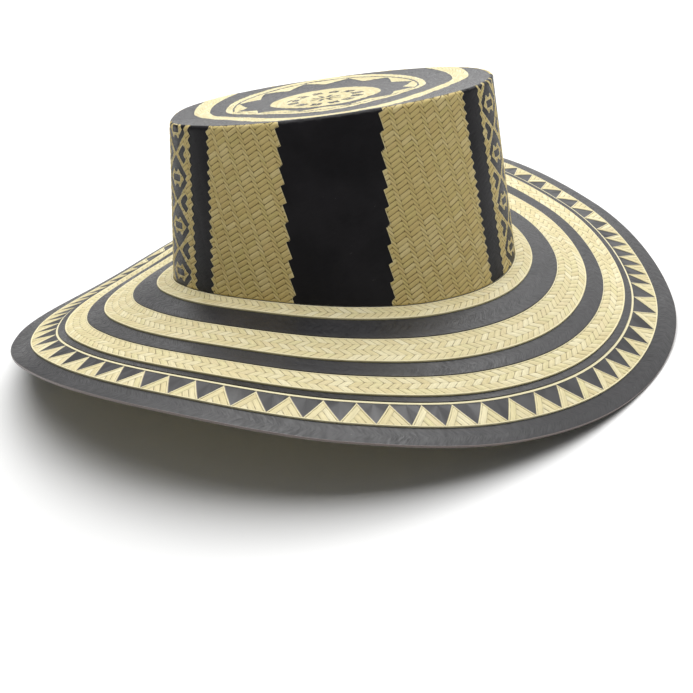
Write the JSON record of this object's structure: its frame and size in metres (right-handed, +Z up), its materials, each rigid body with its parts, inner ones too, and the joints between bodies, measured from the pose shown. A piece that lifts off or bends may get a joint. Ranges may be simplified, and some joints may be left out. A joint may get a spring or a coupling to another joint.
{
  "type": "straw hat",
  "caption": "Wide-brimmed straw hat with a flat oval crown and a waved brim, sewn from natural and black woven braid with zigzag, diamond and triangle patterns.",
  "frame": {"origin": "on the surface the hat rests on, under the middle of its bounding box", "axes": "+Z up; +X along the crown's length; -Y towards the side that the picture shows"},
  "size_m": [0.39, 0.3584, 0.1524],
  "materials": {
    "natural_straw": "matte woven cane",
    "black_straw": "satin woven cane, dyed black",
    "patterned_straw": "woven cane, natural and black"
  },
  "bodies": {
    "root": {"crown_top_centre": "natural_straw", "crown_top_star": "patterned_straw", "crown_top_rim": "black_straw", "wall_turn_01": "patterned_straw", "wall_turn_02": "patterned_straw", "wall_turn_03": "patterned_straw", "wall_turn_04": "patterned_straw", "wall_turn_05": "patterned_straw", "wall_turn_06": "patterned_straw", "wall_turn_07": "patterned_straw", "wall_turn_08": "patterned_straw", "wall_turn_09": "patterned_straw", "wall_turn_10": "patterned_straw", "brim_turn_1": "natural_straw", "brim_turn_2": "black_straw", "brim_turn_3": "natural_straw", "brim_turn_4": "black_straw", "brim_turn_5": "natural_straw", "brim_turn_6": "black_straw", "brim_triangles": "patterned_straw", "brim_edge": "black_straw"}
  },
  "joints": []
}
